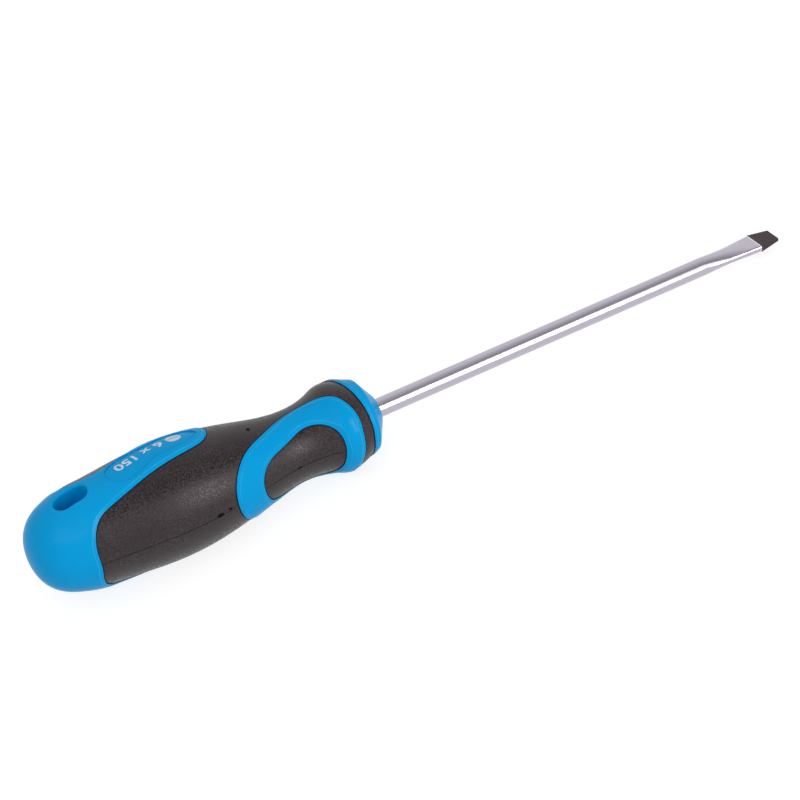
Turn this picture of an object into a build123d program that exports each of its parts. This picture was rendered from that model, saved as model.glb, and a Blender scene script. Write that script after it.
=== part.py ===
# Slotted screwdriver with a two-colour moulded handle. Millimetres.
# The blade lies along X with its working end at the origin and the handle behind it.
# +Z is the side of the upper tongue and the hanging slot, -Y the side of the thumb rest.
import os
from math import atan2, ceil, cos, hypot, radians, sin

from build123d import *

os.makedirs("parts", exist_ok=True)

# Blade
blade_reach = 150.0         # from the nose of the handle to the working end
shank_dia = 6.0
flare_length = 28.0         # from the round shank to the working end
flare_width = 8.5
flare_thickness = 2.4
flare_corner = 0.9
ground_length = 7.4
ground_step = 0.1           # the grinding cuts this far below the forged faces
tip_width = 6.1
tip_thickness = 1.0
tang_length = 84.0          # buried in the handle
tang_bevel = 0.8
wing_span = 10.0            # across a pair of wings squeezed out of the tang
wing_length = 9.0
wing_thickness = 2.2
wing_slope = 2.0            # length over which a wing rises
wing_setbacks = (60.0, 74.0)

# Form of the handle. A setback is a distance behind the nose of the handle, along the axis.
handle_length = 117.0
nose_dia = 10.2
shoulder_dia = 23.6
shoulder_setback = 4.4
collar_slope = 0.33         # rise of the collar behind its shoulder, for each unit of length
guard_dia = 29.2
guard_setback = 13.7
finger_stop_dia = 26.7      # back of the guard, where the finger stops
finger_stop_setback = 18.4
neck_dia = 23.5
neck_setback = 28.5
palm_dia = 29.2             # front of the belly
palm_setback = 45.0
belly_dia = 36.7
belly_setback = 74.0
heel_dia = 33.5             # back of the belly
heel_setback = 95.0
butt_dia = 28.4
butt_setback = 107.4
butt_slope = 0.36

# Moulded layers
grip_sunk = 0.5             # the soft grip lies this far below the hard skin
grip_thickness = 3.0
bevel_width = 1.2           # slope of the hard skin beside the soft grip
bevel_depth = 0.35
label_depth = 0.35
slot_setback = 100.6
slot_length = 10.8
slot_width = 7.0
slot_rim = 0.7
stud_dia = 5.0              # studs that lock the thumb rest into the hard body
stud_depth = 1.5
stud_setbacks = (24.0, 38.0)
core_front_setback = 9.0
core_step_setback = 48.0
core_rear_setback = 91.0
core_front_dia = 12.0
core_rear_dia = 20.0
core_groove_width = 4.0
core_groove_depth = 1.2
core_groove_setbacks = (56.0, 67.0, 78.0)

# Borders between the colours as (setback, angle round the axis in degrees). The angle is 0 at
# the thumb side, 90 on top and 180 at the palm side. The nose and cap borders go from the thumb
# side over the top to the palm side, and their lower halves mirror the upper ones.
nose_border = [(6.9, 0), (7.1, 44), (7.8, 66), (9.1, 92), (10.8, 117), (12.7, 145), (13.4, 180)]
cap_border = [
    (100.6, 0), (100.4, 24), (97.8, 44), (89.5, 57.5), (76.0, 69.5), (63.5, 77), (56.6, 86),
    (54.2, 100), (54.6, 117), (60.0, 128), (72.0, 126), (83.5, 113), (92.5, 109), (100.0, 116),
    (104.8, 137), (105.8, 180),
]
# The loop, the thumb rest and the label are closed.
loop_border = [
    (10.5, 25), (11.0, 49.5), (13.0, 68), (18.0, 88), (25.4, 95.6), (32.3, 86.2), (39.6, 69.1),
    (46.8, 54.4), (52.6, 36), (55.7, 12), (55.0, -12), (52.0, -35), (46.5, -56), (37.0, -78),
    (27.0, -93), (18.5, -87), (13.6, -63), (12.0, -32), (10.9, -2),
]
inlay_border = [
    (17.2, 4), (17.9, 28), (21.0, 47), (26.6, 55), (32.5, 46), (38.6, 36), (43.5, 24.5),
    (45.7, 6), (44.8, -14), (42.0, -33), (36.0, -48), (28.0, -57), (21.6, -50), (18.4, -28),
]
label_border = [
    (57.3, 104), (61.0, 117), (74.0, 112), (86.0, 104), (89.0, 89), (85.5, 74), (73.5, 83),
    (60.5, 91),
]
border_pitch = 5.0          # a border is laid on the skin at places this far apart
bar_radius = 15.0           # round bar on which the courses of the borders are drawn

grip_depth = grip_sunk + grip_thickness
open_space = 0.1            # the cutting bands reach this far above the skin
wall_overrun = 0.2          # and their walls this far past both sides of the band


def behind_nose(setback):
    return -blade_reach - setback


# Half section of the handle with its skin taken down by a depth.
def handle_half(depth):
    def place(setback, dia):
        return behind_nose(setback), dia / 2 - depth

    nose = place(0, nose_dia)
    shoulder = place(shoulder_setback, shoulder_dia)
    guard = place(guard_setback, guard_dia)
    finger_stop = place(finger_stop_setback, finger_stop_dia)
    neck = place(neck_setback, neck_dia)
    palm = place(palm_setback, palm_dia)
    belly = place(belly_setback, belly_dia)
    heel = place(heel_setback, heel_dia)
    butt = place(butt_setback, butt_dia)
    pole = (behind_nose(handle_length - depth), 0)
    with BuildSketch() as half:
        with BuildLine():
            Polyline((behind_nose(0), 0), nose, shoulder)
            Spline(shoulder, guard, tangents=[(-1, collar_slope), (-1, 0)])
            Spline(
                guard, finger_stop, neck, palm, belly, heel, butt,
                tangents=[(-1, 0), (-1, -butt_slope)],
            )
            Spline(butt, pole, tangents=[(-1, -butt_slope), (0, -1)])
            Line(pole, (behind_nose(0), 0))
        make_face()
    return half.sketch


hard_half = handle_half(0)
soft_half = handle_half(grip_sunk)
floor_half = handle_half(grip_depth)
label_half = handle_half(label_depth)
open_half = handle_half(-open_space)


def skin_radius(setback):
    x = behind_nose(setback)
    ray = Edge.make_line((x, 0), (x, belly_dia))
    return sum(piece.length for piece in hard_half.face().intersect(ray))


# A border that goes round the handle is completed by the mirror image of its upper half.
def both_halves(border):
    return border + [(setback, -angle) for setback, angle in reversed(border[1:-1])]


# The course of a border, drawn on a round bar that lies along X from the nose backwards.
def border_course(border):
    return Edge.make_spline(
        [
            Vector(setback, -bar_radius * cos(radians(angle)), bar_radius * sin(radians(angle)))
            for setback, angle in border
        ],
        periodic=True,
    )


# The closed curve that follows a course at a depth below the skin of the handle. The shift
# moves it sideways on the skin, to the left of its course.
def laid(course, depth, shift=0):
    steps = ceil(course.length / border_pitch)
    places = []
    for step in range(steps):
        run = course.length * step / steps
        place = course.position_at(run, PositionMode.LENGTH)
        heading = course.tangent_at(run, PositionMode.LENGTH)
        angle = atan2(place.Z, -place.Y)
        radius = skin_radius(place.X)
        along = heading.X
        around = (heading.Y * sin(angle) + heading.Z * cos(angle)) * radius / bar_radius
        pace = hypot(along, around)
        setback = place.X - shift * around / pace
        angle += shift * along / pace / radius
        reach = skin_radius(setback) - depth
        places.append((behind_nose(setback), -reach * cos(angle), reach * sin(angle)))
    return Spline(*places, periodic=True)


# Wall of a pocket, from below its floor to open space. It stands square to the skin past the
# top of the soft layer, then slopes back as the bevel of the hard skin.
def bevelled_wall(course, hard_side):
    rise = bevel_depth + open_space + wall_overrun
    foot = laid(course, grip_depth + wall_overrun)
    edge = laid(course, bevel_depth)
    lip = laid(course, bevel_depth - rise, hard_side * bevel_width / bevel_depth * rise)
    return Shell([
        Face.make_surface_from_curves(foot, edge), Face.make_surface_from_curves(edge, lip)
    ])


# Band of space round the handle, from a depth below the skin to open space above it.
def band(floor):
    with BuildPart() as around:
        revolve(open_half, Axis.X)
        revolve(floor, Axis.X, mode=Mode.SUBTRACT)
    return around.part


nose_course = border_course(both_halves(nose_border))
cap_course = border_course(both_halves(cap_border))
loop_course = border_course(loop_border)
inlay_course = border_course(inlay_border)
label_course = border_course(label_border)

# Pockets of the soft layer and of the label
moulding_band = band(floor_half)
nose_wall = bevelled_wall(nose_course, 1)
cap_wall = bevelled_wall(cap_course, -1)
loop_wall = bevelled_wall(loop_course, -1)
inlay_wall = bevelled_wall(inlay_course, 1)
behind_collar = split(moulding_band, nose_wall, Keep.ALL).solids().sort_by(Axis.X)[0]
belt = split(behind_collar, cap_wall, Keep.ALL).solids().sort_by(Axis.X)[-1]
loop_patch, grip_pocket = split(belt, loop_wall, Keep.ALL).solids().sort_by(Axis.Y)
inlay_pocket = split(loop_patch, inlay_wall, Keep.ALL).solids().sort_by(Axis.Y)[0]
label_wall = Face.make_surface_from_curves(
    laid(label_course, label_depth + wall_overrun),
    laid(label_course, -open_space - wall_overrun),
)
label_patch = split(band(label_half), label_wall, Keep.ALL).solids().sort_by(Axis.Z)[-1]


with BuildPart() as blade:
    with BuildSketch(Plane.YZ.offset(-flare_length)):
        Circle(shank_dia / 2)
    extrude(amount=flare_length - blade_reach - tang_length)
    chamfer(blade.faces().sort_by(Axis.X)[0].edges(), tang_bevel)
    with BuildSketch(Plane.YZ.offset(-flare_length)):
        Circle(shank_dia / 2)
    with BuildSketch(Plane.YZ.offset(-ground_length)):
        RectangleRounded(flare_width, flare_thickness, flare_corner)
    loft()
    with BuildSketch(Plane.YZ.offset(-ground_length)):
        Rectangle(flare_width - 2 * ground_step, flare_thickness - 2 * ground_step)
    with BuildSketch(Plane.YZ):
        Rectangle(tip_width, tip_thickness)
    loft(ruled=True)
    with BuildSketch(Plane.XY):
        with Locations([(behind_nose(setback), 0) for setback in wing_setbacks]):
            Polygon(
                (-wing_length / 2, 0), (wing_slope - wing_length / 2, wing_span / 2),
                (wing_length / 2 - wing_slope, wing_span / 2), (wing_length / 2, 0),
                (wing_length / 2 - wing_slope, -wing_span / 2),
                (wing_slope - wing_length / 2, -wing_span / 2),
            )
    extrude(amount=wing_thickness / 2, both=True)
blade.part.label = "blade"
export_step(blade.part, "parts/blade.step")


with BuildPart() as core_insert:
    with BuildSketch():
        with BuildLine():
            Polyline(
                (behind_nose(core_front_setback), 0),
                (behind_nose(core_front_setback), core_front_dia / 2),
                (behind_nose(core_step_setback), core_front_dia / 2),
                (behind_nose(core_step_setback), core_rear_dia / 2),
                (behind_nose(core_rear_setback), core_rear_dia / 2),
                (behind_nose(core_rear_setback), 0),
                close=True,
            )
        make_face()
        with Locations([(behind_nose(s), core_rear_dia / 2) for s in core_groove_setbacks]):
            Rectangle(core_groove_width, 2 * core_groove_depth, mode=Mode.SUBTRACT)
    revolve(axis=Axis.X)
    add(blade.part, mode=Mode.SUBTRACT)
core_insert.part.label = "core_insert"
export_step(core_insert.part, "parts/core_insert.step")


with BuildPart() as soft_grip:
    revolve(soft_half, Axis.X)
    add(grip_pocket, mode=Mode.INTERSECT)
soft_grip.part.label = "soft_grip"
export_step(soft_grip.part, "parts/soft_grip.step")


with BuildPart() as inlay_studs:
    with BuildSketch(Plane.XZ.offset(neck_dia / 2 - grip_depth - stud_depth)):
        with Locations([(behind_nose(setback), 0) for setback in stud_setbacks]):
            Circle(stud_dia / 2)
    extrude(amount=stud_depth + grip_thickness / 2)


with BuildPart() as grip_inlay:
    revolve(soft_half, Axis.X)
    add(inlay_pocket, mode=Mode.INTERSECT)
    add(inlay_studs.part)
grip_inlay.part.label = "grip_inlay"
export_step(grip_inlay.part, "parts/grip_inlay.step")


with BuildPart() as handle_body:
    revolve(hard_half, Axis.X)
    with BuildSketch(Plane.XY):
        with Locations((behind_nose(slot_setback), 0)):
            SlotOverall(slot_length, slot_width)
    extrude(amount=belly_dia, both=True, mode=Mode.SUBTRACT)
    fillet(handle_body.edges(Select.LAST).filter_by(Axis.Z, reverse=True), slot_rim)
    add(grip_pocket, mode=Mode.SUBTRACT)
    add(inlay_pocket, mode=Mode.SUBTRACT)
    add(inlay_studs.part, mode=Mode.SUBTRACT)
    add([label_patch, mirror(label_patch, Plane.XY)], mode=Mode.SUBTRACT)
    add([blade.part, core_insert.part], mode=Mode.SUBTRACT)
handle_body.part.label = "handle_body"
export_step(handle_body.part, "parts/handle_body.step")
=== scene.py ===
import math
import bpy
import bmesh
from mathutils import Matrix, Vector
from mathutils.bvhtree import BVHTree


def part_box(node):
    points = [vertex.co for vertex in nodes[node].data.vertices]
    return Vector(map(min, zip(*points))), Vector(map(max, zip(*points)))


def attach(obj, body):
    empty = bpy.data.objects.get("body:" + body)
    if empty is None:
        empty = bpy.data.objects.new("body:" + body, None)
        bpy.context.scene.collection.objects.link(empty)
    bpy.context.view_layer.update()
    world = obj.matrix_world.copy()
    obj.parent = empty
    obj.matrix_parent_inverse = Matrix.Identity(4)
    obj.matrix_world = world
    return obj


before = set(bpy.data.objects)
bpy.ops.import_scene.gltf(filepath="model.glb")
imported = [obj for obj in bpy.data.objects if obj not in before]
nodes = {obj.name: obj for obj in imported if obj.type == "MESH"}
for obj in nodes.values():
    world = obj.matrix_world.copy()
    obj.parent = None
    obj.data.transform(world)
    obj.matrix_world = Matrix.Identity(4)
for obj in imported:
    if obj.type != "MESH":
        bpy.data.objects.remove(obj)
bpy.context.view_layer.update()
mm = 0.001
black = (0.0, 0.0, 0.0, 1.0)
white = (1.0, 1.0, 1.0, 1.0)
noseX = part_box("handle_body")[1].x  # the front face of the handle
print("frame loaded")


# Shader helpers

def newMaterial(name):
    material = bpy.data.materials.new(name)
    material.use_nodes = True
    tree = material.node_tree
    return material, tree, tree.nodes["Principled BSDF"]


# Each value is a constant, or the socket of another node to link
def fillInputs(tree, node, inputs):
    for key, value in inputs.items():
        if isinstance(value, bpy.types.NodeSocket):
            tree.links.new(value, node.inputs[key])
        else:
            node.inputs[key].default_value = value


def addNode(tree, kind, inputs=None, **settings):
    node = tree.nodes.new(kind)
    for key, value in settings.items():
        setattr(node, key, value)
    fillInputs(tree, node, inputs or {})
    return node


def objectPlace(tree):
    return addNode(tree, "ShaderNodeTexCoord").outputs["Object"]


def mixColours(tree, factor, first, second):
    # 6 and 7 are the two colours of a Mix node, and 2 is what it puts out
    return addNode(tree, "ShaderNodeMix", {0: factor, 6: first, 7: second},
                   data_type="RGBA").outputs[2]


def remap(tree, value, low, high, toLow=0.0, toHigh=1.0):
    return addNode(tree, "ShaderNodeMapRange", {
        "Value": value, "From Min": low, "From Max": high,
        "To Min": toLow, "To Max": toHigh}).outputs["Result"]


def mathOf(tree, operation, *values):
    return addNode(tree, "ShaderNodeMath", dict(enumerate(values)),
                   operation=operation).outputs[0]


def bumpNormal(tree, height, strength, distance):
    return addNode(tree, "ShaderNodeBump", {
        "Height": height, "Strength": strength, "Distance": distance}).outputs["Normal"]


# Moulded grain: a fine grain, and a mottle that changes over some millimetres

mouldedGrain = {
    "grain": {"size": 2500.0, "detail": 3.0},
    "mottle": {"size": 120.0, "detail": 4.0},
}


def makeGrainGroup():
    group = bpy.data.node_groups.new("mouldedGrain", "ShaderNodeTree")
    sockets = group.interface
    sockets.new_socket("place", in_out="INPUT", socket_type="NodeSocketVector")
    for label, values in mouldedGrain.items():
        size = sockets.new_socket(label + "Size", in_out="INPUT", socket_type="NodeSocketFloat")
        size.default_value = values["size"]
        sockets.new_socket(label, in_out="OUTPUT", socket_type="NodeSocketFloat")
    source = group.nodes.new("NodeGroupInput").outputs
    result = group.nodes.new("NodeGroupOutput").inputs
    for label, values in mouldedGrain.items():
        noise = addNode(group, "ShaderNodeTexNoise", {
            "Vector": source["place"], "Scale": source[label + "Size"],
            "Detail": values["detail"]})
        group.links.new(noise.outputs["Fac"], result[label])
    return group


grainGroup = makeGrainGroup()


def addGrain(tree, values):
    return addNode(tree, "ShaderNodeGroup", {
        "place": objectPlace(tree), "grainSize": values["grainSize"],
        "mottleSize": values["mottleSize"]}, node_tree=grainGroup).outputs


# Hard blue plastic

hardPlastic = {
    "colour": (0.0, 0.365, 0.775, 1.0),
    "deepColour": (0.0, 0.345, 0.745, 1.0),
    "sheenTint": (0.25, 0.80, 1.0, 1.0),
    "roughness": (0.19, 0.23),
    "specular": 0.008,
    "grainSize": 1800.0,
    "mottleSize": 90.0,
    "mottleRange": (0.3, 0.7),
    "bump": 0.03,
    "bumpHeight": 0.1 * mm,
    "glossWeight": 0.14,
    "glossRoughness": 0.16,
}


def makeHardPlastic():
    values = hardPlastic
    material, tree, shader = newMaterial("hardBluePlastic")
    grain = addGrain(tree, values)
    fillInputs(tree, shader, {
        "Base Color": mixColours(tree, grain["mottle"], values["colour"], values["deepColour"]),
        "Roughness": remap(tree, grain["mottle"], *values["mottleRange"], *values["roughness"]),
        "Normal": bumpNormal(tree, grain["grain"], values["bump"], values["bumpHeight"]),
        "Specular IOR Level": values["specular"],
        "Specular Tint": values["sheenTint"],
        "Coat Weight": values["glossWeight"],
        "Coat Roughness": values["glossRoughness"],
    })
    return material


# Black grip rubber

gripRubber = {
    "colour": (0.008, 0.004, 0.0055, 1.0),
    "paleColour": (0.058, 0.045, 0.050, 1.0),
    "sheenTint": (1.0, 0.90, 0.93, 1.0),
    "paleGrain": (0.45, 0.68),
    "paleMottle": (0.30, 0.70),
    "paleShare": (0.35, 1.0),
    "roughness": (0.25, 0.56),
    "roughGrain": (0.38, 0.62),
    "specular": 0.44,
    "grainSize": 1900.0,
    "mottleSize": 70.0,
    "bump": 0.40,
    "bumpHeight": 0.15 * mm,
}


def makeGripRubber():
    values = gripRubber
    material, tree, shader = newMaterial("gripRubber")
    grain = addGrain(tree, values)
    pale = mathOf(tree, "MULTIPLY", remap(tree, grain["grain"], *values["paleGrain"]),
                  remap(tree, grain["mottle"], *values["paleMottle"], *values["paleShare"]))
    fillInputs(tree, shader, {
        "Base Color": mixColours(tree, pale, values["colour"], values["paleColour"]),
        "Roughness": remap(tree, grain["grain"], *values["roughGrain"], *values["roughness"]),
        "Normal": bumpNormal(tree, grain["grain"], values["bump"], values["bumpHeight"]),
        "Specular IOR Level": values["specular"],
        "Specular Tint": values["sheenTint"],
    })
    return material


# Blade: satin chrome with drawn lines along the bar, a paler band just behind the ground tip
# that is a painted highlight on its edge, and a dark ground tip

bladeSteel = {
    "chrome": (0.485, 0.455, 0.53, 1.0),
    # a paler chrome band just behind the ground tip: a painted highlight on the edge there
    "edgeHighlight": (0.72, 0.69, 0.80, 1.0),
    "edgeHighlightLength": 0.45 * mm,
    "edgeHighlightBlend": 0.05 * mm,
    "dark": (0.030, 0.015, 0.019, 1.0),
    "paleDark": (0.066, 0.042, 0.046, 1.0),
    "rearDark": (0.058, 0.043, 0.072, 1.0),
    "darkSpecular": 0.20,
    "chromeRoughness": 0.19,
    "darkRoughness": 0.45,
    "groundLength": 7.4 * mm,
    "groundBlend": 0.02 * mm,
    "rearLength": 1.6 * mm,
    "linesAlong": 40.0,
    "linesAcross": 9000.0,
    "lineDetail": 2.0,
    "lineRange": (0.35, 0.65),
    "bump": 0.012,
    "bumpHeight": 0.05 * mm,
}


def makeBladeSteel():
    values = bladeSteel
    material, tree, shader = newMaterial("bladeSteel")
    place = objectPlace(tree)
    along = addNode(tree, "ShaderNodeSeparateXYZ", {"Vector": place}).outputs["X"]
    groundRear = -values["groundLength"]
    groundBlend = values["groundBlend"]
    dark = remap(tree, along, groundRear - groundBlend, groundRear + groundBlend)
    forward = remap(tree, along, groundRear, groundRear + values["rearLength"])
    stretched = addNode(tree, "ShaderNodeMapping", {
        "Vector": place,
        "Scale": (values["linesAlong"], values["linesAcross"], values["linesAcross"])})
    lines = addNode(tree, "ShaderNodeTexNoise", {
        "Vector": stretched.outputs["Vector"], "Scale": 1.0,
        "Detail": values["lineDetail"]}).outputs["Fac"]
    stone = mixColours(tree, remap(tree, lines, *values["lineRange"]), values["dark"],
                       values["paleDark"])
    ground = mixColours(tree, forward, values["rearDark"], stone)
    # the band of painted highlight, just behind the ground tip
    highlightRear = groundRear - values["edgeHighlightLength"]
    highlightBlend = values["edgeHighlightBlend"]
    edge = remap(tree, along, highlightRear - highlightBlend, highlightRear + highlightBlend)
    chromeAndHighlight = mixColours(tree, edge, values["chrome"], values["edgeHighlight"])
    fillInputs(tree, shader, {
        "Base Color": mixColours(tree, dark, chromeAndHighlight, ground),
        "Metallic": remap(tree, dark, 0.0, 1.0, 1.0, 0.0),
        "Roughness": remap(tree, dark, 0.0, 1.0, values["chromeRoughness"],
                           values["darkRoughness"]),
        "Normal": bumpNormal(tree, lines, values["bump"], values["bumpHeight"]),
        "Specular IOR Level": values["darkSpecular"],
    })
    return material


# Plain finishes: two colours that mix by the mottle, and one roughness

plainMottleRange = (0.35, 0.65)
plainSpecular = 0.08
plainFinishes = {
    "coreResin": {"colours": ((0.02, 0.02, 0.022, 1), (0.035, 0.035, 0.037, 1)),
                  "roughness": 0.5, "grainSize": 900.0, "mottleSize": 60.0},
    "whitePrint": {"colours": ((0.82, 0.86, 0.90, 1), (0.62, 0.74, 0.86, 1)),
                   "roughness": 0.45, "grainSize": 2500.0, "mottleSize": 400.0},
    # a dark blue, painted shade for the bead along the grip borders
    "seamShade": {"colours": ((0.003, 0.010, 0.024, 1), (0.006, 0.016, 0.034, 1)),
                  "roughness": 0.6, "grainSize": 2500.0, "mottleSize": 200.0},
    "rubberDent": {"colours": ((0.002, 0.002, 0.002, 1), (0.005, 0.004, 0.005, 1)),
                   "roughness": 0.9, "grainSize": 2500.0, "mottleSize": 300.0},
    # a darker blue, painted shade along the label step
    "labelRimShade": {"colours": ((0.0, 0.27, 0.63, 1), (0.0, 0.29, 0.66, 1)),
                 "roughness": 0.4, "grainSize": 2500.0, "mottleSize": 200.0},
    # a paler blue, painted highlight along the bevel crests
    "bevelCrestHighlight": {"colours": ((0.01, 0.44, 0.81, 1), (0.06, 0.53, 0.87, 1)),
                   "roughness": 0.3, "grainSize": 2500.0, "mottleSize": 200.0},
}


def makePlainFinish(name):
    values = plainFinishes[name]
    material, tree, shader = newMaterial(name)
    mottle = remap(tree, addGrain(tree, values)["mottle"], *plainMottleRange)
    fillInputs(tree, shader, {
        "Base Color": mixColours(tree, mottle, *values["colours"]),
        "Roughness": values["roughness"],
        "Specular IOR Level": plainSpecular,
    })
    return material


def dress(nodeName, material):
    piece = nodes[nodeName]
    piece.data.materials.clear()
    piece.data.materials.append(material)


rubber = makeGripRubber()
dress("handle_body", makeHardPlastic())
dress("soft_grip", rubber)
dress("grip_inlay", rubber)
dress("blade", makeBladeSteel())
dress("core_insert", makePlainFinish("coreResin"))
print("carried-over pieces dressed")


# Helpers for new pieces

mergeWithin = 0.003 * mm
outsideHandle = 30 * mm  # a radius from which rays are sent in to find the skin
anyAngle = 360.0  # above the largest angle there is between two faces


def mergedCopy(nodeName):
    shape = bmesh.new()
    shape.from_mesh(nodes[nodeName].data)
    bmesh.ops.remove_doubles(shape, verts=shape.verts, dist=mergeWithin)
    return shape


def skinOf(nodeName):
    body = mergedCopy(nodeName)
    skin = BVHTree.FromBMesh(body)
    body.free()
    return skin


def addPiece(name, mesh, material):
    piece = bpy.data.objects.new(name, mesh)
    bpy.context.scene.collection.objects.link(piece)
    mesh.materials.clear()
    mesh.materials.append(material)
    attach(piece, "root")


# The point at a setback from the nose, and at degrees round from the thumb side
def onHandle(setback, degrees, radius):
    angle = math.radians(degrees)
    return Vector((noseX - setback, -radius * math.cos(angle), radius * math.sin(angle)))


def awayFromAxis(place):
    return Vector((0, place.y, place.z)).normalized()


# The edges whose two faces meet at an angle in the range, where one face or both look away
# from the handle's axis. 1 is straight away from it.
def skinEdges(shape, values):
    low, high = (math.radians(angle) for angle in values["angles"])
    ofTwo = min if values["bothOutward"] else max
    chosen = []
    for edge in shape.edges:
        if len(edge.link_faces) != 2 or not low < edge.calc_face_angle(0) < high:
            continue
        if values["convexOnly"] and not edge.is_convex:
            continue
        outward = awayFromAxis(edge.verts[0].co)
        if ofTwo(face.normal.dot(outward) for face in edge.link_faces) > values["outward"]:
            chosen.append(edge)
    return chosen


# The places along the chosen edges, which are followed both ways from one of them. A dict keeps
# the edges in order, so that every run of the script starts at the same ones.
def edgeRuns(edges, shortest):
    left = dict.fromkeys(edges)
    runs = []
    while left:
        edge = next(iter(left))
        del left[edge]
        run = list(edge.verts)
        for _ in range(2):
            while True:
                tip = run[-1]
                onward = [e for e in tip.link_edges if e in left]
                if not onward:
                    break
                del left[onward[0]]
                run.append(onward[0].other_vert(tip))
            run.reverse()
        closed = len(run) > 2 and run[0] is run[-1]
        places = [vertex.co.copy() for vertex in run]
        length = sum((b - a).length for a, b in zip(places, places[1:]))
        if length > shortest:
            runs.append((places[:-1] if closed else places, closed))
    return runs


def skinRuns(nodeName, values):
    shape = mergedCopy(nodeName)
    runs = edgeRuns(skinEdges(shape, values), values["shortest"])
    shape.free()
    return runs


def beadMesh(name, runs, radius):
    curve = bpy.data.curves.new(name, "CURVE")
    curve.dimensions = "3D"
    curve.bevel_depth = radius
    curve.bevel_resolution = 1
    curve.use_fill_caps = True
    for places, closed in runs:
        spline = curve.splines.new("POLY")
        spline.points.add(len(places) - 1)
        for point, place in zip(spline.points, places):
            point.co = (*place, 1.0)
        spline.use_cyclic_u = closed
    holder = bpy.data.objects.new(name, curve)
    mesh = bpy.data.meshes.new_from_object(holder)
    bpy.data.objects.remove(holder)
    return mesh


# Seam shadow: a dark bead laid where the soft grip and the thumb rest meet the hard plastic; it
# is painted shade, standing in for the shadow in the gap between the mouldings

seamShadow = {
    "radius": 0.22 * mm,
    "angles": (50.0, anyAngle),
    "convexOnly": False,
    "bothOutward": False,
    "outward": 0.7,
    "shortest": 12 * mm,
}


def makeSeamShadows(nodeName, name):
    runs = skinRuns(nodeName, seamShadow)
    print(name, "runs", len(runs))
    addPiece(name, beadMesh(name, runs, seamShadow["radius"]), seamShade)


seamShade = makePlainFinish("seamShade")
makeSeamShadows("soft_grip", "gripSeamShadow")
makeSeamShadows("grip_inlay", "inlaySeamShadow")


# Crest highlight: a paler blue bead along the outer edge of the bevels beside the soft grip; it
# is a painted highlight where the rounded crest catches light

crest = {
    "radius": 0.09 * mm,
    "sunk": 0.045 * mm,
    "angles": (9.0, 30.0),
    "convexOnly": True,
    "bothOutward": True,
    "outward": 0.8,
    "shortest": 12 * mm,
}


def makeCrestHighlights():
    runs = [([place - awayFromAxis(place) * crest["sunk"] for place in places], closed)
            for places, closed in skinRuns("handle_body", crest)]
    print("bevelCrestHighlight runs", len(runs))
    addPiece("bevelCrestHighlight", beadMesh("bevelCrestHighlight", runs, crest["radius"]),
             makePlainFinish("bevelCrestHighlight"))


makeCrestHighlights()


# Rim shade: a darker blue bead round the fine step of each recessed label; it is painted shade
# along the step

labelRimShade = {
    "radius": 0.07 * mm,
    "angles": (50.0, anyAngle),
    "convexOnly": True,
    "bothOutward": False,
    "outward": 0.98,
    "shortest": 12 * mm,
    "within": (56 * mm, 90 * mm),  # behind the nose
}


def makeLabelRimShades():
    nearest, farthest = labelRimShade["within"]
    runs = [run for run in skinRuns("handle_body", labelRimShade)
            if all(nearest < noseX - place.x < farthest for place in run[0])]
    print("labelRimShade runs", len(runs))
    addPiece("labelRimShade", beadMesh("labelRimShade", runs, labelRimShade["radius"]),
             makePlainFinish("labelRimShade"))


makeLabelRimShades()
print("seams, crests and rims made")


# Thin shapes laid on a skin: the print of the size mark, and the dents of the gates

thinShape = {
    "facet": 0.4 * mm,
    "splits": 6,
    "radius": 17.9 * mm,  # of the skin, which turns a width into degrees
    "thickness": 0.03 * mm,
    "clear": 0.02 * mm,
}


def refine(shape):
    bmesh.ops.triangulate(shape, faces=shape.faces)
    for _ in range(thinShape["splits"]):
        long = [edge for edge in shape.edges if edge.calc_length() > thinShape["facet"]]
        if not long:
            break
        bmesh.ops.subdivide_edges(shape, edges=long, cuts=1)
        bmesh.ops.triangulate(shape, faces=shape.faces)


# Lays a flat shape on a skin: its X runs along the reading line, from the start to the end
def layOnSkin(name, shape, skin, start, end):
    refine(shape)
    (startSet, startTurn), (endSet, endTurn) = start, end
    perDegree = math.radians(1) * thinShape["radius"]
    reading = Vector((endSet - startSet, (startTurn - endTurn) * perDegree)).normalized()
    for vertex in shape.verts:
        setback = startSet + vertex.co.x * reading.x - vertex.co.y * reading.y
        turn = startTurn - (vertex.co.x * reading.y + vertex.co.y * reading.x) / perDegree
        outside = onHandle(setback, turn, outsideHandle)
        inward = onHandle(setback, turn, 0) - outside
        place, normal, _, _ = skin.ray_cast(outside, inward.normalized())
        vertex.co = place + normal * thinShape["clear"]
    bmesh.ops.recalc_face_normals(shape, faces=shape.faces)
    if sum(face.normal.z for face in shape.faces) < 0:
        bmesh.ops.reverse_faces(shape, faces=shape.faces)
    bmesh.ops.solidify(shape, geom=shape.faces[:], thickness=-thinShape["thickness"])
    bmesh.ops.recalc_face_normals(shape, faces=shape.faces)
    mesh = bpy.data.meshes.new(name)
    shape.to_mesh(mesh)
    shape.free()
    return mesh


# Size mark: a slotted screw head and plain numbers, printed in the label recess

sizeMark = {
    "words": "6 x 150",
    "letterHeight": 3.5 * mm,
    "bolder": 0.022,
    "wordsFrom": 4.0 * mm,
    "wordsTo": 21.0 * mm,
    "discRadius": 2.4 * mm,
    "discSides": 48,
    "slotWidth": 0.28 * mm,
    "slotGap": 0.75 * mm,
    "start": (64.3 * mm, 105.0),  # behind the nose, and degrees round from the thumb side
    "end": (84.5 * mm, 94.0),
}


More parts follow.
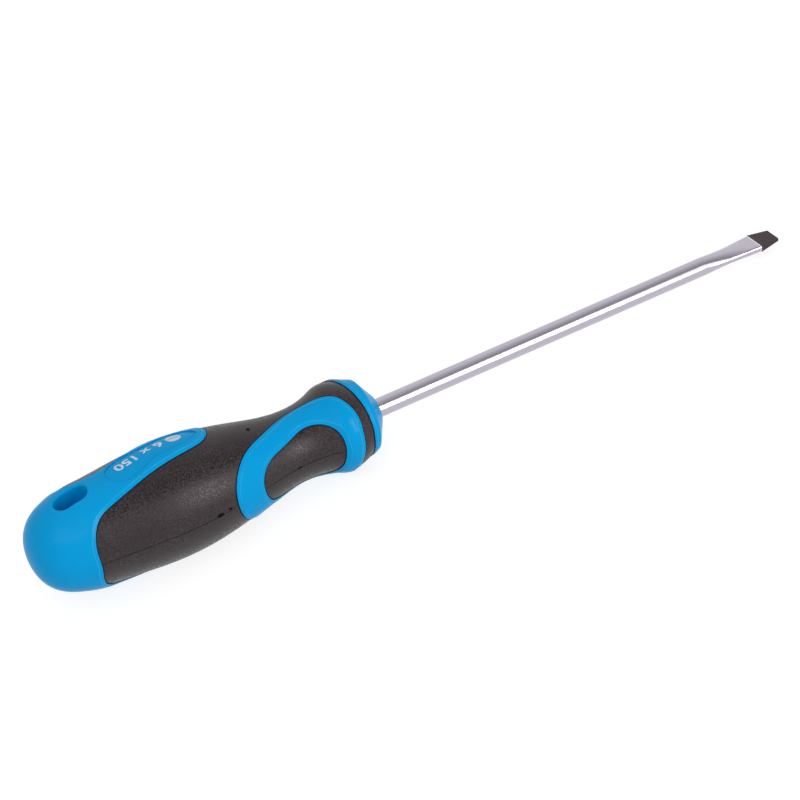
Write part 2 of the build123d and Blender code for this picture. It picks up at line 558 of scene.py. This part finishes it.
def wordShape():
    curve = bpy.data.curves.new("sizeWords", "FONT")
    curve.body = sizeMark["words"]
    curve.offset = sizeMark["bolder"]
    holder = bpy.data.objects.new("sizeWords", curve)
    bpy.context.scene.collection.objects.link(holder)
    bpy.context.view_layer.update()
    mesh = bpy.data.meshes.new_from_object(holder)
    bpy.data.objects.remove(holder)
    shape = bmesh.new()
    shape.from_mesh(mesh)
    xs = [vertex.co.x for vertex in shape.verts]
    ys = [vertex.co.y for vertex in shape.verts]
    across = (sizeMark["wordsTo"] - sizeMark["wordsFrom"]) / (max(xs) - min(xs))
    up = sizeMark["letterHeight"] / (max(ys) - min(ys))
    for vertex in shape.verts:
        vertex.co = Vector((sizeMark["wordsFrom"] + (vertex.co.x - min(xs)) * across,
                            (vertex.co.y - (min(ys) + max(ys)) / 2) * up, 0))
    return shape


def discShape():
    shape = bmesh.new()
    bmesh.ops.create_circle(shape, cap_ends=True, segments=sizeMark["discSides"],
                            radius=sizeMark["discRadius"])
    lineY, halfWidth = sizeMark["slotGap"] / 2, sizeMark["slotWidth"] / 2
    for side in (-1, 1):
        for edge in (-1, 1):
            bmesh.ops.bisect_plane(
                shape, geom=shape.verts[:] + shape.edges[:] + shape.faces[:],
                plane_co=(0, side * lineY + edge * halfWidth, 0), plane_no=(0, 1, 0))
    lines = [face for face in shape.faces
             if abs(abs(face.calc_center_median().y) - lineY) < halfWidth]
    bmesh.ops.delete(shape, geom=lines, context="FACES")
    return shape


def makeSizeMark():
    skin = skinOf("handle_body")
    ink = makePlainFinish("whitePrint")
    for name, shape in (("sizeNumbers", wordShape()), ("screwHeadSign", discShape())):
        mesh = layOnSkin(name, shape, skin, sizeMark["start"], sizeMark["end"])
        addPiece(name, mesh, ink)


makeSizeMark()
print("size mark printed")


# Marks of the moulding on the rubber: its parting line, and the dents of the gates

# A dent is given as its place behind the nose, degrees round, half length and half width
mouldMarks = {
    "lineRadius": 0.07 * mm,
    "lineTurn": 0.0,
    "lineStep": 1.0 * mm,
    "dentSides": 20,
    "dentAim": 5 * mm,  # how far behind its middle a dent's length points to
    "soft_grip": {
        "called": "softGrip",
        "line": (56.6 * mm, 100.2 * mm),
        "dents": ((62.2 * mm, 1.0, 1.15 * mm, 0.62 * mm), (58.6 * mm, 2.5, 0.7 * mm, 0.34 * mm),
                  (42.6 * mm, 84.0, 0.6 * mm, 0.75 * mm)),
    },
    "grip_inlay": {
        "called": "gripInlay",
        "line": (18.0 * mm, 45.0 * mm),
        "dents": ((32.4 * mm, 0.5, 0.85 * mm, 0.40 * mm),),
    },
}


def makeMouldMarks():
    finish = makePlainFinish("rubberDent")
    for nodeName in ("soft_grip", "grip_inlay"):
        marks = mouldMarks[nodeName]
        near, far = marks["line"]
        skin = skinOf(nodeName)
        places = []
        steps = int((far - near) / mouldMarks["lineStep"])
        for step in range(steps + 1):
            setback = near + (far - near) * step / steps
            outside = onHandle(setback, mouldMarks["lineTurn"], outsideHandle)
            place = skin.ray_cast(outside, -awayFromAxis(outside))[0]
            if place:
                places.append(place)
        name = marks["called"] + "Line"
        addPiece(name, beadMesh(name, [(places, False)], mouldMarks["lineRadius"]), finish)
        for index, (setback, turn, length, width) in enumerate(marks["dents"]):
            shape = bmesh.new()
            bmesh.ops.create_circle(shape, cap_ends=True, segments=mouldMarks["dentSides"],
                                    radius=1)
            bmesh.ops.scale(shape, vec=(length, width, 1), verts=shape.verts)
            name = marks["called"] + "Dent" + str(index + 1)
            mesh = layOnSkin(name, shape, skin, (setback, turn),
                             (setback + mouldMarks["dentAim"], turn))
            addPiece(name, mesh, finish)


makeMouldMarks()
print("moulding marks made")


# Floor, light and camera. The handle rests on its belly and guard, so the tip stands clear.

studio = {
    "floorSize": 3.0,
    "floorColour": (0.86, 0.86, 0.87, 1.0),
    "seenColour": (0.30, 0.30, 0.30, 1.0),  # what the camera and reflections see of it
    "seenLift": 0.83,  # the light that they see it give off
    "floorRoughness": 0.9,
    "belly": (-224.0 * mm, -18.40 * mm),
    "guard": (-163.7 * mm, -14.65 * mm),
    "airStrength": 0.52,
}


# Where the camera, a reflection or a clear material sees the background
def backgroundSeen(tree):
    path = addNode(tree, "ShaderNodeLightPath").outputs
    direct = mathOf(tree, "ADD", path["Is Camera Ray"], path["Is Glossy Ray"])
    return mathOf(tree, "MINIMUM", mathOf(tree, "ADD", direct, path["Is Transmission Ray"]), 1.0)


def makeFloor():
    (bellyX, bellyZ), (guardX, guardZ) = studio["belly"], studio["guard"]
    slope = math.atan2(guardZ - bellyZ, guardX - bellyX)
    mesh = bpy.data.meshes.new("floor")
    shape = bmesh.new()
    bmesh.ops.create_grid(shape, x_segments=1, y_segments=1, size=studio["floorSize"])
    bmesh.ops.rotate(shape, cent=(0, 0, 0), matrix=Matrix.Rotation(-slope, 3, "Y"),
                     verts=shape.verts)
    bmesh.ops.translate(shape, vec=(bellyX, 0, bellyZ), verts=shape.verts)
    shape.to_mesh(mesh)
    shape.free()
    floor = bpy.data.objects.new("floor", mesh)
    bpy.context.scene.collection.objects.link(floor)
    material, tree, shader = newMaterial("paleFloor")
    seen = backgroundSeen(tree)
    fillInputs(tree, shader, {
        "Base Color": mixColours(tree, seen, studio["floorColour"], studio["seenColour"]),
        "Roughness": studio["floorRoughness"],
        "Specular IOR Level": 0.0,
        "Emission Color": white,
        "Emission Strength": mathOf(tree, "MULTIPLY", seen, studio["seenLift"]),
    })
    mesh.materials.append(material)


def makeAir():
    world = bpy.data.worlds.new("studioAir")
    bpy.context.scene.world = world
    world.use_nodes = True
    tree = world.node_tree
    fillInputs(tree, tree.nodes["Background"], {
        "Color": white,
        "Strength": remap(tree, backgroundSeen(tree), 0.0, 1.0, studio["airStrength"], 1.0),
    })


# A grey card overhead, seen only in reflections: it gives the round bar its dark band
overheadCard = {
    "middle": 86.0,  # degrees above the front of the floor
    "halfWidth": 34.0,
    "halfLength": 0.9,
    "distance": 0.9,
    "aim": (-0.075, 0.0, 0.0),
    "leanX": 0.37,
    "nearTone": 0.30,
    "farTone": 1.0,
}


def makeOverheadCard():
    values = overheadCard
    lean = math.sqrt(1 - values["leanX"] ** 2)
    rise = math.radians(values["middle"])
    towards = Vector((values["leanX"], -lean * math.cos(rise), lean * math.sin(rise)))
    half = values["distance"] * math.tan(math.radians(values["halfWidth"]))
    mesh = bpy.data.meshes.new("overheadCard")
    shape = bmesh.new()
    bmesh.ops.create_grid(shape, x_segments=1, y_segments=1, size=1)
    bmesh.ops.scale(shape, vec=(values["halfLength"], half, 1), verts=shape.verts)
    bmesh.ops.rotate(shape, cent=(0, 0, 0), verts=shape.verts,
                     matrix=Matrix.Rotation(rise - math.pi / 2, 3, "X").inverted())
    middle = Vector(values["aim"]) + towards * values["distance"]
    bmesh.ops.translate(shape, vec=middle, verts=shape.verts)
    shape.to_mesh(mesh)
    shape.free()
    card = bpy.data.objects.new("overheadCard", mesh)
    bpy.context.scene.collection.objects.link(card)
    for rays in ("camera", "diffuse", "transmission", "volume_scatter", "shadow"):
        setattr(card, "visible_" + rays, False)
    material, tree, shader = newMaterial("greyCard")
    front = addNode(tree, "ShaderNodeSeparateXYZ", {"Vector": objectPlace(tree)}).outputs["Y"]
    tone = remap(tree, front, middle.y - half, middle.y + half, values["nearTone"],
                 values["farTone"])
    fillInputs(tree, shader, {
        "Base Color": black,
        "Specular IOR Level": 0.0,
        "Emission Color": white,
        "Emission Strength": tone,
    })
    mesh.materials.append(material)


lampAim = Vector((-0.10, 0, 0))
lamps = [
    {"name": "keyPanel", "place": (-0.75, -0.55, 1.0), "size": (0.9, 0.9), "power": 3.4},
    {"name": "frontPanel", "place": (0.34, -1.04, 0.42), "size": (0.30, 0.74), "power": 4.5},
]


def makeLamps():
    for lamp in lamps:
        light = bpy.data.lights.new(lamp["name"], "AREA")
        light.shape = "RECTANGLE"
        light.size, light.size_y = lamp["size"]
        light.energy = lamp["power"]
        holder = bpy.data.objects.new(lamp["name"], light)
        holder.location = lamp["place"]
        towards = lampAim - holder.location
        holder.rotation_euler = towards.to_track_quat("-Z", "Y").to_euler()
        bpy.context.scene.collection.objects.link(holder)


camera = {
    "lens": 128.4,
    "aim": (-0.1411, -0.0003, -0.0003),
    "distance": 0.878,
    "azimuth": -25.1,
    "elevation": 35.28,
    "roll": 8.48,
}


def makeCamera():
    turn, rise = math.radians(camera["azimuth"]), math.radians(camera["elevation"])
    away = Vector((math.sin(turn) * math.cos(rise), -math.cos(turn) * math.cos(rise),
                   math.sin(rise)))
    rolled = Matrix.Rotation(-math.radians(camera["roll"]), 4, "Z").to_quaternion()
    lens = bpy.data.cameras.new("camera")
    lens.lens = camera["lens"]
    holder = bpy.data.objects.new("camera", lens)
    holder.rotation_euler = (away.to_track_quat("Z", "Y") @ rolled).to_euler()
    holder.location = Vector(camera["aim"]) + away * camera["distance"]
    bpy.context.scene.collection.objects.link(holder)
    bpy.context.scene.camera = holder


makeFloor()
makeOverheadCard()
makeAir()
makeLamps()
makeCamera()
bpy.context.scene.view_settings.view_transform = "Standard"
print("studio ready")
